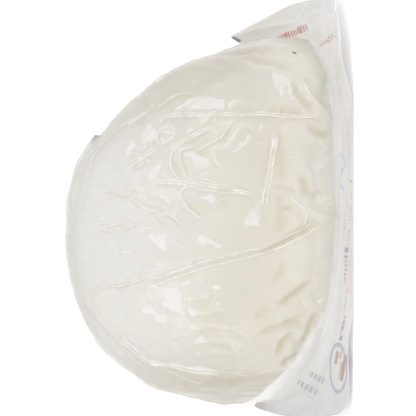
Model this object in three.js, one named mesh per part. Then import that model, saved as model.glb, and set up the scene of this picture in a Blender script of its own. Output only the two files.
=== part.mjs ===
// A vacuum-packed ball of fresh mozzarella, lying on its printed lid film.
// Millimetres: +X is the right of the pack, +Y its back and +Z up. The lid film lies on z = 0.
//
// lid_film      the flat printed film under the ball, with its flange and the two ends that curl up
// wrapped_ball  the ball in its tight clear bag, out to the bag's skin and folds

import * as THREE from "three";

// ---------- Sizes ----------

const BALL_HEIGHT = 70.3; // the crown above the surface that the pack lies on
const BALL_HEART = 24; // the height that the folds push away from
const CROWN_SHIFT = new THREE.Vector2(-3, 2); // how far the ball leans at its crown
const LID_THICKNESS = 0.8; // both films of the seal and the air between them
const GAP = 0.3; // between the lid film and the bag
const PACK_MIDDLE = new THREE.Vector3(3.75, 2, 0); // the middle of the whole pack, its own origin

// The ball's outline on its four sides, from the seal up to the crown: [distance out, height].
const CROWN_LINE = [
  [9, 69.8],
  [0, BALL_HEIGHT],
];
const RIGHT_FLANK = [
  [51.7, 1.5], [52.2, 8], [52, 16], [48.4, 27.5], [43.2, 41], [35.7, 51.3], [27.1, 60], [18, 67],
  ...CROWN_LINE,
];
const LEFT_FLANK = [
  [50, 14], [50.7, 18], [51.9, 25.5], [50.4, 34.5], [47.1, 44.6], [40, 54.4], [31.2, 62], [20.4, 67.3],
  ...CROWN_LINE,
];
const FRONT_FLANK = [
  [45, 1.5], [49, 8], [50.6, 18], [49, 31], [44.8, 43], [37.4, 53.6], [28.3, 61.8], [18.8, 67],
  ...CROWN_LINE,
];
const BACK_FLANK = [
  [48.5, 1.5], [52, 8], [53.6, 18], [51.8, 31], [47, 43], [38.8, 53.6], [29, 61.8], [19.2, 67],
  ...CROWN_LINE,
];

// The seal between bag and lid, and the flange's outer edge, in pairs going round from the front.
const RIM = [
  { seal: [0, -45.5, 1.3], edge: [-8, -62, 0] },
  { seal: [9, -45.3, 1.2], edge: [12, -62, 0] },
  { seal: [24.6, -42, 0.9], edge: [33, -62, 0] },
  { seal: [34.6, -37.5, 0.6], edge: [45, -60.3, 2.8] },
  { seal: [41.7, -31.5, 0.6], edge: [58.1, -56.5, 3.5] },
  { seal: [44.2, -27, 0.8], edge: [58.5, -52.5, 3.2] },
  { seal: [46, -23, 1], edge: [62.4, -46.5, 2.4] },
  { seal: [50.3, -11, 1.2], edge: [62.9, -27, 1.9] },
  { seal: [51.9, 2, 1.5], edge: [62.9, -5, 2.2] },
  { seal: [51.2, 16, 2.2], edge: [61.6, 12, 4.8] },
  { seal: [47.6, 27, 2.8], edge: [57.9, 25.5, 10] },
  { seal: [44, 33.5, 2.7], edge: [55.4, 32.5, 13.8] },
  { seal: [41.5, 37, 2.6], edge: [53.4, 36.5, 16.8] },
  { seal: [38, 40.5, 2.4], edge: [51.6, 41, 13.2] },
  { seal: [31, 45, 1.8], edge: [43, 54, 7] },
  { seal: [16, 49.4, 1.2], edge: [22, 63.5, 1.8] },
  { seal: [0, 50.5, 1], edge: [0, 66, 0.6] },
  { seal: [-16, 49.4, 1.2], edge: [-22, 65, 1] },
  { seal: [-31, 44, 2.4], edge: [-40, 57.5, 3.4] },
  { seal: [-42, 33, 6], edge: [-47.5, 41, 5.8] },
  { seal: [-46.8, 22, 9], edge: [-50.4, 25.5, 9] },
  { seal: [-49, 14, 11.2], edge: [-53.1, 13, 14.1] },
  { seal: [-50.9, 2, 13.6], edge: [-54.7, -2, 12.3] },
  { seal: [-48.8, -14, 13], edge: [-55.6, -18, 9.3] },
  { seal: [-45, -22.5, 9.7], edge: [-55.3, -36, 5.5] },
  { seal: [-38.8, -30.5, 5.9], edge: [-53.1, -56, 2] },
  { seal: [-31.7, -36.5, 4], edge: [-50, -60.2, 1] },
  { seal: [-24, -40.8, 2.7], edge: [-33, -61.5, 1.3] },
  { seal: [-13, -44.2, 1.9], edge: [-25, -62, 0] },
];

// Folds and creases of the bag: a line from one point to the next as [x, height], on its front
// or back, with how far the skin stands proud (or sinks, below zero) and how wide the fold is.
const FOLDS = [
  { side: "front", path: [[30, 44], [30.3, 24], [30.8, 3]], rise: 1.4, width: 2.6 },
  { side: "front", path: [[33.4, 42], [33.8, 22], [33.6, 6]], rise: -1.2, width: 3 },
  { side: "front", path: [[-19, 62], [-14, 44], [-8, 22], [-2, 4]], rise: 1.3, width: 2.8 },
  { side: "front", path: [[-11, 30], [-5, 17], [0, 8]], rise: -1.3, width: 3.4 },
  { side: "front", path: [[8, 40], [7, 24], [3, 6]], rise: 0.9, width: 2.4 },
  { side: "front", path: [[2, 15], [16, 13.5], [27, 13]], rise: 1.2, width: 2.6 },
  { side: "front", path: [[-2, 10.5], [12, 9.5], [26, 9]], rise: -1.1, width: 3 },
  { side: "front", path: [[-41, 52], [-43, 34], [-44, 24]], rise: 1.2, width: 2.4 },
  { side: "front", path: [[-36, 22], [-30, 13], [-22, 6]], rise: -1.2, width: 3.4 },
  { side: "front", path: [[-24, 20], [-17, 11], [-13, 5]], rise: -1, width: 3.2 },
  { side: "front", path: [[42, 30], [44, 17], [45, 5]], rise: 1, width: 2.6 },
  { side: "back", path: [[-22, 58], [-16, 36], [-12, 6]], rise: 1.3, width: 2.8 },
  { side: "back", path: [[26, 54], [29, 30], [31, 5]], rise: 1.3, width: 2.8 },
  { side: "back", path: [[2, 40], [6, 22], [4, 4]], rise: -1.1, width: 3.2 },
  { side: "back", path: [[-40, 26], [-30, 16], [-14, 12]], rise: 1.1, width: 3 },
];

// A flap of loose film that stands off the right shoulder.
const FLAP = { at: new THREE.Vector3(22.5, 4, 62.8), size: new THREE.Vector3(3.2, 9, 2), rise: 1.4 };

const FLANGE_SAG = 0.22; // how far the flange hangs below a straight slope, for each mm it climbs
const FLAT_MIDDLE = 0.55; // the share of the underside that lies flat
const SEAL_REACH = 0.3; // how far up the flanks the seal's own line is felt
const FOLD_LIMIT = 6; // folds keep this far from the line between front and back
const FOLDS_END = 0.08; // how far up the flanks the folds have died out
const COLUMNS = 108; // steps round the pack
const BALL_ROWS = 32; // steps from the seal up to the crown
const BASE_ROWS = 3; // steps from the flat middle of the underside out to the seal
const FLANGE_ROWS = 5; // steps from the seal out to the flange's edge

// ---------- Helpers ----------

const smooth = (low, high, x) => THREE.MathUtils.smoothstep(x, low, high);

const curveThrough = (points, closed) => new THREE.CatmullRomCurve3(points, closed, "centripetal");

const sealLine = curveThrough(RIM.map(({ seal }) => new THREE.Vector3(...seal)), true);
const edgeLine = curveThrough(RIM.map(({ edge }) => new THREE.Vector3(...edge)), true);

const flankCurve = (flank) => curveThrough(flank.map(([out, z]) => new THREE.Vector3(out, 0, z)), false);

const flanks = {
  right: flankCurve(RIGHT_FLANK),
  left: flankCurve(LEFT_FLANK),
  front: flankCurve(FRONT_FLANK),
  back: flankCurve(BACK_FLANK),
};

// A closed body from rings of equal length. Each ring is a list of points going anticlockwise seen
// from above, the first ring is the lowest inside one, and both ends close on a single point.
function bodyFromRings(start, rings, end) {
  const count = rings[0].length;
  const points = [start, ...rings.flat(), end];
  const faces = [];
  const at = (ring, i) => 1 + ring * count + (i % count);
  for (let i = 0; i < count; i++) {
    faces.push(0, at(0, i + 1), at(0, i));
    for (let ring = 0; ring < rings.length - 1; ring++) {
      faces.push(at(ring, i), at(ring, i + 1), at(ring + 1, i + 1));
      faces.push(at(ring, i), at(ring + 1, i + 1), at(ring + 1, i));
    }
    faces.push(points.length - 1, at(rings.length - 1, i), at(rings.length - 1, i + 1));
  }
  const geometry = new THREE.BufferGeometry().setFromPoints(points);
  geometry.setIndex(faces);
  geometry.computeVertexNormals();
  return geometry;
}

const ringOf = (pointAt) => Array.from({ length: COLUMNS }, (_, i) => pointAt(i / COLUMNS));

// ---------- Lid film ----------

// The lid's underside from the edge of its flat middle (t = 0) out to the seal (t = 1). It lies
// on the floor in the middle and lifts towards the seal.
function basePoint(u, t) {
  const seal = sealLine.getPoint(u);
  const out = THREE.MathUtils.lerp(FLAT_MIDDLE, 1, t);
  return new THREE.Vector3(seal.x * out, seal.y * out, smooth(0, 1, t) * seal.z);
}

const baseRings = () =>
  Array.from({ length: BASE_ROWS + 1 }, (_, row) => ringOf((u) => basePoint(u, row / BASE_ROWS)));

// The flange's underside from the seal (t = 0) to its outer edge (t = 1), hollow seen from above.
function flangePoint(u, t) {
  const seal = sealLine.getPoint(u);
  const edge = edgeLine.getPoint(u);
  const middle = seal.clone().lerp(edge, 0.5);
  middle.z -= FLANGE_SAG * Math.abs(edge.z - seal.z);
  const point = new THREE.QuadraticBezierCurve3(seal, middle, edge).getPoint(t);
  point.z = Math.max(point.z, 0);
  return point;
}

const liftedBy = (height) => (point) => point.clone().setZ(point.z + height);

function lidFilm() {
  const under = baseRings();
  for (let row = 1; row <= FLANGE_ROWS; row++) under.push(ringOf((u) => flangePoint(u, row / FLANGE_ROWS)));
  const over = under.map((ring) => ring.map(liftedBy(LID_THICKNESS))).reverse();
  const middle = new THREE.Vector3(0, 0, 0);
  return bodyFromRings(middle, [...under, ...over], liftedBy(LID_THICKNESS)(middle));
}

// ---------- Ball in its bag ----------

// The smooth skin of the bag above the point u of the seal: t runs from the seal to the crown.
function skinPoint(u, t) {
  const seal = sealLine.getPoint(u);
  const around = Math.atan2(seal.y, seal.x);
  const x = Math.cos(around);
  const y = Math.sin(around);
  const side = (x > 0 ? flanks.right : flanks.left).getPoint(t);
  const face = (y > 0 ? flanks.back : flanks.front).getPoint(t);
  const flank = side.multiplyScalar(x * x).addScaledVector(face, y * y);
  const lean = (flank.z / BALL_HEIGHT) ** 3;
  const point = new THREE.Vector3(
    flank.x * x + CROWN_SHIFT.x * lean,
    flank.x * y + CROWN_SHIFT.y * lean,
    flank.z,
  );
  const nearSeal = (1 - smooth(0, SEAL_REACH, t)) ** 2;
  return point.addScaledVector(seal.sub(sealFoot(around)), nearSeal);
}

// Where the four flanks would start by themselves, in the direction `around`.
function sealFoot(around) {
  const x = Math.cos(around);
  const y = Math.sin(around);
  const [sideOut, sideHeight] = (x > 0 ? RIGHT_FLANK : LEFT_FLANK)[0];
  const [faceOut, faceHeight] = (y > 0 ? BACK_FLANK : FRONT_FLANK)[0];
  const out = sideOut * x * x + faceOut * y * y;
  return new THREE.Vector3(out * x, out * y, sideHeight * x * x + faceHeight * y * y);
}

// How far the folds push the skin out at a point, in millimetres.
function foldRelief(point) {
  let relief = 0;
  for (const { side, path, rise, width } of FOLDS) {
    const facing = side === "front" ? -point.y : point.y;
    if (facing < FOLD_LIMIT) continue;
    relief += rise * Math.exp(-((distanceToPath(point.x, point.z, path) / width) ** 2));
  }
  const off = point.clone().sub(FLAP.at).divide(FLAP.size).length();
  return relief + FLAP.rise * Math.exp(-off * off);
}

function distanceToPath(x, z, path) {
  const here = new THREE.Vector3(x, 0, z);
  const nearest = new THREE.Vector3();
  let shortest = Infinity;
  for (let i = 0; i < path.length - 1; i++) {
    const from = new THREE.Vector3(path[i][0], 0, path[i][1]);
    const to = new THREE.Vector3(path[i + 1][0], 0, path[i + 1][1]);
    new THREE.Line3(from, to).closestPointToPoint(here, true, nearest);
    shortest = Math.min(shortest, nearest.distanceTo(here));
  }
  return shortest;
}

function wrappedBall() {
  const clear = liftedBy(LID_THICKNESS + GAP);
  const rings = baseRings().map((ring) => ring.map(clear));
  const heart = new THREE.Vector3(0, 0, BALL_HEART);
  for (let row = 1; row < BALL_ROWS; row++) {
    rings.push(
      ringOf((u) => {
        const t = row / BALL_ROWS;
        const point = skinPoint(u, t);
        point.z += (LID_THICKNESS + GAP) * (1 - smooth(0, SEAL_REACH, t));
        const outward = point.clone().sub(heart).normalize();
        const hold = smooth(0, FOLDS_END, t);
        return point.addScaledVector(outward, foldRelief(point) * hold);
      }),
    );
  }
  const crown = new THREE.Vector3(CROWN_SHIFT.x, CROWN_SHIFT.y, BALL_HEIGHT);
  return bodyFromRings(clear(new THREE.Vector3(0, 0, 0)), rings, crown);
}

// ---------- The pack ----------

function named(name, geometry, colour, roughness) {
  const material = new THREE.MeshStandardMaterial({ color: colour, roughness, metalness: 0 });
  const mesh = new THREE.Mesh(geometry, material);
  mesh.name = name;
  return mesh;
}

const pack = new THREE.Group();
pack.position.copy(PACK_MIDDLE).negate();
pack.add(named("lid_film", lidFilm(), "#e2e0df", 0.4));
pack.add(named("wrapped_ball", wrappedBall(), "#e6e0cf", 0.15));

export default pack;
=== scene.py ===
"""Looks of a vacuum-packed ball of fresh mozzarella.

The cheese, the clear film over it and the printed lid film are meshes worked out here from the
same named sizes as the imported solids. Lengths are in millimetres in the pack's own coordinates
(+X right, +Y back, +Z up, the lid film on z = 0) until a mesh is made, which turns them to metres.
"""
import math
from functools import partialmethod, reduce

import bpy
import numpy as np
from mathutils import Matrix, Vector


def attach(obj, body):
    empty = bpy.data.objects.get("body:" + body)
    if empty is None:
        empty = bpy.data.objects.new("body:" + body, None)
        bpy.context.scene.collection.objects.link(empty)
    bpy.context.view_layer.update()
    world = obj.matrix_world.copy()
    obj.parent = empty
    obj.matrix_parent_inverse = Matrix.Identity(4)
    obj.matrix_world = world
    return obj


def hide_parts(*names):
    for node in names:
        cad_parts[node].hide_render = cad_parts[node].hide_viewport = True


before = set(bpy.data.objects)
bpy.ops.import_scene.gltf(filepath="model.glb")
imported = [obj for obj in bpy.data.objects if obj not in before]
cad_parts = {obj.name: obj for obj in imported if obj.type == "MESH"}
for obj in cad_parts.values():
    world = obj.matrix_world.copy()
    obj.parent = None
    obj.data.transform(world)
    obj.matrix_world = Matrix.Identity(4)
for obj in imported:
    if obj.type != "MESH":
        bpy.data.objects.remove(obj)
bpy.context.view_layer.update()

# ---------- Sizes, as in the solids ----------

PACK_MIDDLE = np.array([3.75, 2.0, 0.0])
BALL_HEIGHT = 70.3
CROWN_SHIFT = np.array([-3.0, 2.0])
SEAL_REACH = 0.3
FLANGE_SAG = 0.22
FLAT_MIDDLE = 0.55

CROWN_LINE = [(9, 69.8), (0, BALL_HEIGHT)]
RIGHT_FLANK = [(51.7, 1.5), (52.2, 8), (52, 16), (48.4, 27.5), (43.2, 41), (35.7, 51.3), (27.1, 60), (18, 67)]
LEFT_FLANK = [
    (50, 14), (50.7, 18), (51.9, 25.5), (50.4, 34.5), (47.1, 44.6), (40, 54.4), (31.2, 62), (20.4, 67.3),
]
FRONT_FLANK = [(45, 1.5), (49, 8), (50.6, 18), (49, 31), (44.8, 43), (37.4, 53.6), (28.3, 61.8), (18.8, 67)]
BACK_FLANK = [(48.5, 1.5), (52, 8), (53.6, 18), (51.8, 31), (47, 43), (38.8, 53.6), (29, 61.8), (19.2, 67)]

# The seal between bag and lid, and the flange's outer edge, in pairs going round from the front.
RIM = [
    ((0, -45.5, 1.3), (-8, -62, 0)),
    ((9, -45.3, 1.2), (12, -62, 0)),
    ((24.6, -42, 0.9), (33, -62, 0)),
    ((34.6, -37.5, 0.6), (45, -60.3, 2.8)),
    ((41.7, -31.5, 0.6), (58.1, -56.5, 3.5)),
    ((44.2, -27, 0.8), (58.5, -52.5, 3.2)),
    ((46, -23, 1), (62.4, -46.5, 2.4)),
    ((50.3, -11, 1.2), (62.9, -27, 1.9)),
    ((51.9, 2, 1.5), (62.9, -5, 2.2)),
    ((51.2, 16, 2.2), (61.6, 12, 4.8)),
    ((47.6, 27, 2.8), (57.9, 25.5, 10)),
    ((44, 33.5, 2.7), (55.4, 32.5, 13.8)),
    ((41.5, 37, 2.6), (53.4, 36.5, 16.8)),
    ((38, 40.5, 2.4), (51.6, 41, 13.2)),
    ((31, 45, 1.8), (43, 54, 7)),
    ((16, 49.4, 1.2), (22, 63.5, 1.8)),
    ((0, 50.5, 1), (0, 66, 0.6)),
    ((-16, 49.4, 1.2), (-22, 65, 1)),
    ((-31, 44, 2.4), (-40, 57.5, 3.4)),
    ((-42, 33, 6), (-47.5, 41, 5.8)),
    ((-46.8, 22, 9), (-50.4, 25.5, 9)),
    ((-49, 14, 11.2), (-53.1, 13, 14.1)),
    ((-50.9, 2, 13.6), (-54.7, -2, 12.3)),
    ((-48.8, -14, 13), (-55.6, -18, 9.3)),
    ((-45, -22.5, 9.7), (-55.3, -36, 5.5)),
    ((-38.8, -30.5, 5.9), (-53.1, -56, 2)),
    ((-31.7, -36.5, 4), (-50, -60.2, 1)),
    ((-24, -40.8, 2.7), (-33, -61.5, 1.3)),
    ((-13, -44.2, 1.9), (-25, -62, 0)),
]

# ---------- The photograph's view ----------

VIEW_ELEVATION = math.radians(10)
VIEW_DISTANCE = 2400.0
VIEW_WIDTH = 118.86  # what the picture's side spans at the pack's middle
VIEW_MIDDLE = (3.71, 40.57)  # x and seen height at the picture's middle
NEAR_EDGE = -62.0  # y of the flange's front edge, where the seen height starts
TO_VIEWER = np.array([0.0, -math.cos(VIEW_ELEVATION), math.sin(VIEW_ELEVATION)])
SEEN_UP = np.array([0.0, math.sin(VIEW_ELEVATION), math.cos(VIEW_ELEVATION)])
TURNS = (np.ones(3), np.array([-1.0, -1.0, 1.0]))  # how the pack turns to be seen from front and back


def metres(points):
    """Points of the pack as Blender has them, in metres from the pack's middle."""
    return (np.asarray(points, float) - PACK_MIDDLE) / 1000.0


def seen_height(points):
    """How high points look from the front, ten degrees above level, over the flange's front edge."""
    return (points[..., 1] - NEAR_EDGE) * SEEN_UP[1] + points[..., 2] * SEEN_UP[2]


# ---------- Curves and noise ----------


def smooth(low, high, x):
    """Goes softly from 0 to 1 while x goes from low to high."""
    f = np.clip((np.asarray(x, float) - low) / (np.asarray(high, float) - low), 0, 1)
    return f * f * (3 - 2 * f)


def bell(x, power=2):
    """One where x is 0, and almost nothing where x is beyond 2."""
    return np.exp(-(x**power))


def unit(vector):
    return vector / np.linalg.norm(vector, axis=-1, keepdims=True)


def curve_through(points, closed=False):
    """A centripetal Catmull-Rom curve through the points, as a function of 0..1."""
    line = np.array(points, float)
    spans = len(line) if closed else len(line) - 1
    if closed:
        around = np.concatenate([line[-1:], line, line[:2]])
    else:
        around = np.concatenate([[2 * line[0] - line[1]], line, [2 * line[-1] - line[-2]]])

    def at(u):
        place = np.asarray(u, float) * spans
        first = np.clip(place.astype(int), 0, spans - 1)
        f = (place - first)[..., None]
        a, b, c, d = (around[first + k] for k in range(4))
        ab, bc, cd = (
            np.maximum(np.linalg.norm(q - p, axis=-1, keepdims=True), 1e-4) ** 0.5
            for p, q in ((a, b), (b, c), (c, d))
        )
        leave = ((b - a) / ab - (c - a) / (ab + bc) + (c - b) / bc) * bc
        arrive = ((c - b) / bc - (d - b) / (bc + cd) + (d - c) / cd) * bc
        bend = -3 * b + 3 * c - 2 * leave - arrive
        return b + f * (leave + f * (bend + f * (2 * b - 2 * c + leave + arrive)))

    return at


def lattice_values(cells, seed):
    """A repeatable number in 0..1 for each whole-number cell."""
    mixed = cells @ np.array([374761393, 668265263, 2147483647]) + seed * 974634777
    mixed = (mixed ^ (mixed >> 13)) * 1274126177
    mixed = mixed ^ (mixed >> 16)
    return (mixed & 0xFFFFFF) / float(0xFFFFFF)


def noise(points, seed):
    """Smooth noise in -1..1 with features about one unit across."""
    cell = np.floor(points).astype(np.int64)
    f = points - cell
    f = f * f * f * (f * (f * 6 - 15) + 10)
    total = 0
    for corner in np.ndindex(2, 2, 2):
        step = np.array(corner)
        weight = np.prod(np.where(step, f, 1 - f), axis=-1)
        total = total + weight * lattice_values(cell + step, seed)
    return total * 2 - 1


def layered(points, seed, layers=2):
    """Noise with finer noise on it, each layer half as strong and half as large."""
    return sum(0.5**k * noise(points * 2.03**k, seed + k) for k in range(layers))


def ridges(points, seed):
    """Sharp crests in 0..1, one about every unit."""
    return 1 - np.abs(noise(points, seed))


def facets(points, seed):
    """Distance to the nearest of scattered points, one in each unit cell: cones that meet in creases."""
    cell = np.floor(points).astype(np.int64)
    nearest = np.full(points.shape[:-1], 9.0)
    for corner in np.ndindex(3, 3, 3):
        there = cell + np.array(corner) - 1
        spot = there + np.stack([lattice_values(there, seed + 17 * k) for k in (1, 2, 3)], axis=-1)
        nearest = np.minimum(nearest, np.linalg.norm(points - spot, axis=-1))
    return nearest


# ---------- The skin of the ball ----------

seal_line = curve_through([seal for seal, _ in RIM], closed=True)
edge_line = curve_through([edge for _, edge in RIM], closed=True)
right_flank, left_flank, front_flank, back_flank = (
    curve_through(flank + CROWN_LINE) for flank in (RIGHT_FLANK, LEFT_FLANK, FRONT_FLANK, BACK_FLANK)
)


def skin(u, t):
    """The bag's smooth skin above the point u of the seal: t runs from the seal to the crown."""
    seal = seal_line(u)
    around = np.arctan2(seal[..., 1], seal[..., 0])[..., None]
    x, y = np.cos(around), np.sin(around)

    def flank_point(at, shift):
        side = np.where(x > 0, right_flank(at), left_flank(at))
        face = np.where(y > 0, back_flank(at), front_flank(at))
        flank = side * x * x + face * y * y
        out, height = flank[..., :1], flank[..., 1:]
        lean = shift * (height / BALL_HEIGHT) ** 3
        return np.concatenate([out * x + lean[..., :1], out * y + lean[..., 1:], height], axis=-1)

    near_seal = (1 - smooth(0, SEAL_REACH, t)) ** 2
    foot = flank_point(np.zeros_like(t), 0 * CROWN_SHIFT)
    return flank_point(t, CROWN_SHIFT) + (seal - foot) * near_seal[..., None]


def evenly(count, fine, passed):
    """The values of fine at which equal shares of the way have passed, from the start almost to the end."""
    passed = np.concatenate([[0], np.cumsum(passed)])
    return np.interp(np.arange(count) / count * passed[-1], passed, fine)


def columns_round(count, front_share):
    """Values of u with their azimuths spread round the pack, closer together in front."""
    fine = np.linspace(0, 1, 6001)
    azimuth = np.unwrap(np.arctan2(seal_line(fine)[:, 1], seal_line(fine)[:, 0]))
    density = 1 + front_share * (0.5 - 0.5 * np.sin(azimuth)) ** 2
    return evenly(count, fine, (density[1:] + density[:-1]) / 2 * np.diff(azimuth))


def rows_up(count):
    """Values of t from the seal almost to the crown, evenly spaced along the front flank."""
    fine = np.linspace(0, 1, 2001)
    return evenly(count, fine, np.linalg.norm(np.diff(front_flank(fine), axis=0), axis=1))


def grid_normals(points):
    """Outward normals of a grid of points whose columns close on themselves."""
    round_ = np.roll(points, -1, axis=1) - np.roll(points, 1, axis=1)
    normal = np.cross(round_, np.gradient(points, axis=0))
    return normal / np.maximum(np.linalg.norm(normal, axis=-1, keepdims=True), 1e-9)


# ---------- Places on the skin, as seen from the front ----------

SKIN_COLUMNS = 400
SKIN_FRONT_SHARE = 1.4  # how much closer together the columns stand in front


class Surface:
    """A grid of points on the skin with what the relief functions need to know about each."""

    def __init__(self, rows):
        u, t = np.meshgrid(columns_round(SKIN_COLUMNS, SKIN_FRONT_SHARE), rows_up(rows))
        self.u, self.t = u, t
        self.base = skin(u, t)
        self.normal = grid_normals(self.base)
        self.above_seal = self.base[..., 2] - seal_line(u)[..., 2]
        x, y = self.base[..., 0], self.base[..., 1]
        self.left_front = smooth(-20, -44, x) * smooth(20, 5, y)
        # How far above the seal the bag only stretches over air, before it meets the cheese.
        self.gap = (1.4 + 4.6 * self.left_front) * (1 + 0.12 * noise(self.base / 4.0, seed=15))

    def seen(self, back):
        """x, seen height and facing of each point, from the front or, turned half round, from the back."""
        turned = self.base * TURNS[back] + ([0, 2 * PACK_MIDDLE[1], 0] if back else 0)
        return turned[..., 0], seen_height(turned), (self.normal * TURNS[back]) @ TO_VIEWER

    def views(self, amount, seed=61):
        """Both views, with the places moved a little, so that straight paths come out uneven."""
        aside, up = (amount * layered(self.base / 3.5, seed + k) for k in (0, 5))
        for back in (False, True):
            x, height, facing = self.seen(back)
            yield back, (x + aside, height + up, facing)


def along_path(view, path, reach):
    """For the points near a path: which they are, their signed distance and how far along they lie."""
    x, height, facing = view
    line = curve_through([(px, ph, 0) for px, ph in path])(np.linspace(0, 1, 10 * (len(path) - 1) + 1))[:, :2]
    start, step = line[:-1], np.diff(line, axis=0)
    low, high = line.min(0) - reach, line.max(0) + reach
    close = (facing > 0.02) & (x > low[0]) & (x < high[0]) & (height > low[1]) & (height < high[1])
    off = np.stack([x[close], height[close]], axis=-1)[:, None, :] - start
    share = np.clip((off * step).sum(-1) / (step * step).sum(-1), 0, 1)
    gap = np.linalg.norm(off - share[..., None] * step, axis=-1)
    best = gap.argmin(axis=1)
    pick = (np.arange(len(best)), best)
    side = np.sign(step[best, 0] * off[pick][:, 1] - step[best, 1] * off[pick][:, 0])
    return close, gap[pick] * np.where(side < 0, -1, 1), (best + share[pick]) / len(start)


def ends_fade(along, share):
    """Fades a path out over a share of its length at each end."""
    return smooth(0, share, along) * smooth(0, share, 1 - along)


def inside_polygon(x, y, corners):
    """Signed distance to a polygon, above zero inside it."""
    corner = np.array(corners, float)
    nearest = np.full(x.shape, 1e3)
    inside = np.zeros(x.shape, bool)
    for (ax, ay), (bx, by) in zip(corner, np.roll(corner, -1, axis=0)):
        ex, ey = bx - ax, by - ay
        f = np.clip(((x - ax) * ex + (y - ay) * ey) / (ex * ex + ey * ey), 0, 1)
        nearest = np.minimum(nearest, np.hypot(x - ax - f * ex, y - ay - f * ey))
        crosses = (ay > y) != (by > y)
        at = ax + (y - ay) / (by - ay if by != ay else 1e-9) * ex
        inside ^= crosses & (x < at)
    return np.where(inside, nearest, -nearest)


# ---------- Relief shared by cheese and film ----------

CREASE_DEPTH = 0.85  # share of the depths below
LIP_HEIGHT = 0.22  # of the two lips beside each crease, as a share of its depth

# Creases of the cheese: depth and half width in mm, and the path as (x, seen height).
CREASES = [
    (-0.9, 0.9, [(-40.8, 20.4), (-39.8, 18.2), (-38.4, 15.9), (-36.6, 14)]),
    (-0.8, 0.8, [(-38.6, 21), (-36.6, 20.4), (-34.6, 19.2), (-32.9, 17.4), (-31.6, 15.4)]),
    (-0.9, 0.9, [(-36.8, 15.2), (-33.6, 13.4), (-30, 11.6), (-27.4, 10.2), (-24, 9.2)]),
    (-0.7, 0.8, [(-33.6, 28.6), (-31.6, 25), (-30.4, 22), (-29.2, 18.8), (-27.8, 14.8), (-26.2, 11.4)]),
    (-0.7, 1.3, [(-30.4, 19.6), (-29.4, 17), (-28.9, 14.6), (-28.4, 12.6)]),
    (-0.5, 0.8, [(-27.4, 28.4), (-25.6, 25.4), (-24, 22.4)]),
    (-1.0, 1.0, [(-24.4, 21.4), (-22.6, 18.9), (-20.6, 16.2), (-18.2, 13.2), (-15.6, 10)]),
    (-0.5, 0.9, [(-17.6, 22.6), (-15.2, 20.9), (-12.8, 19.6), (-10.2, 19.2)]),
    (-1.0, 0.9, [(-8.9, 27.7), (-7.7, 24), (-5.4, 20), (-3.4, 16), (-1.6, 12.6), (0.3, 9.1)]),
    (-0.7, 1.8, [(-3.7, 20.9), (-0.6, 20), (3.4, 20.3)]),
    (-0.7, 1.0, [(2.6, 21.7), (3.7, 18.9), (4.6, 16.6)]),
    (-0.5, 0.8, [(5.1, 17.7), (5.4, 20), (6.9, 21.1), (7.7, 19.4)]),
    (-0.5, 0.6, [(9.7, 22.9), (8.9, 18.3), (8.1, 15.4)]),
    (-0.6, 1.2, [(10, 20.6), (14.6, 20), (21.7, 20.3), (28.9, 20)]),
    (-0.5, 1.2, [(10, 24.9), (14.6, 24.4), (19.4, 23.4), (28.6, 22)]),
    (-0.6, 1.2, [(6, 12.6), (9.7, 13.1), (14, 14.3)]),
    (-0.5, 1.0, [(6.9, 12.3), (7.4, 10.3), (8.3, 8)]),
    (-0.7, 1.1, [(31.3, 35.4), (31.4, 31.4), (31.3, 26.9)]),
    (-0.8, 1.3, [(30.6, 25.1), (30.9, 21.4), (30.7, 17.1), (30.3, 10.9)]),
    (-0.7, 1.0, [(27.1, 13.1), (24.9, 9.4), (23.4, 5.4)]),
    (-0.7, 1.0, [(30, 9.7), (33.1, 12.3), (36.6, 14.9), (40, 16.3)]),
    (-0.5, 0.9, [(45.7, 31), (44.8, 26), (43.8, 20), (43.4, 13.5)]),
    (-0.6, 1.0, [(31.5, 8.4), (36, 7.9), (40.5, 8.8)]),
    (-0.5, 0.7, [(47.1, 41.4), (47.1, 34.3), (47.4, 30), (47.7, 25.7), (47.4, 19.4)]),
    (-0.4, 0.8, [(50.3, 32), (51.4, 28.6), (52, 23.4)]),
    (-0.6, 1.0, [(-44, 41.4), (-44.6, 35.7), (-44, 30)]),
    (-0.35, 1.0, [(-35.2, 46), (-35.6, 40), (-36.2, 33)]),
    (-0.35, 1.0, [(-31.6, 46), (-31.6, 40), (-31.2, 34)]),
    (-0.4, 1.1, [(-27.6, 47), (-26.6, 41), (-25.8, 35)]),
    (-0.4, 1.2, [(-22.4, 46), (-21.6, 41), (-21, 36)]),
    (-0.5, 1.4, [(-19.4, 68), (-18.6, 64), (-17.7, 59.4)]),
    (-0.5, 1.2, [(6.3, 60), (4, 55.7), (1.7, 53.1)]),
    (-0.5, 1.0, [(8, 71.4), (6.9, 66.3), (9.7, 62.3)]),
    (-0.5, 1.0, [(14, 63.4), (16, 59.4), (19.4, 54.3)]),
    (-0.5, 1.2, [(12.6, 47.4), (15.4, 49.1), (19.4, 49.4)]),
    (-0.5, 1.0, [(21.1, 47.4), (23.4, 43.4), (26.3, 38.9)]),
    (-0.6, 0.8, [(10.9, 44), (9.4, 38.6), (8.9, 31.4), (8, 28)]),
    (-0.4, 1.4, [(1.7, 48.6), (4.6, 44), (3.1, 38.6)]),
    (-0.5, 1.4, [(3.1, 36), (6, 36.3), (8.3, 36.6)]),
    (-0.4, 1.2, [(-24.6, 43.4), (-23.4, 41.1), (-23.4, 38.9)]),
    (-0.5, 1.2, [(20.3, 32.6), (23.1, 30.6), (26, 28.6)]),
    (-0.5, 0.9, [(24.9, 68), (27.4, 65.1), (30.3, 61.3), (32.9, 59), (35.2, 57.1), (37.7, 53.7), (40.3, 49.7),
                 (42.6, 45.7)]),
]
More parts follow.
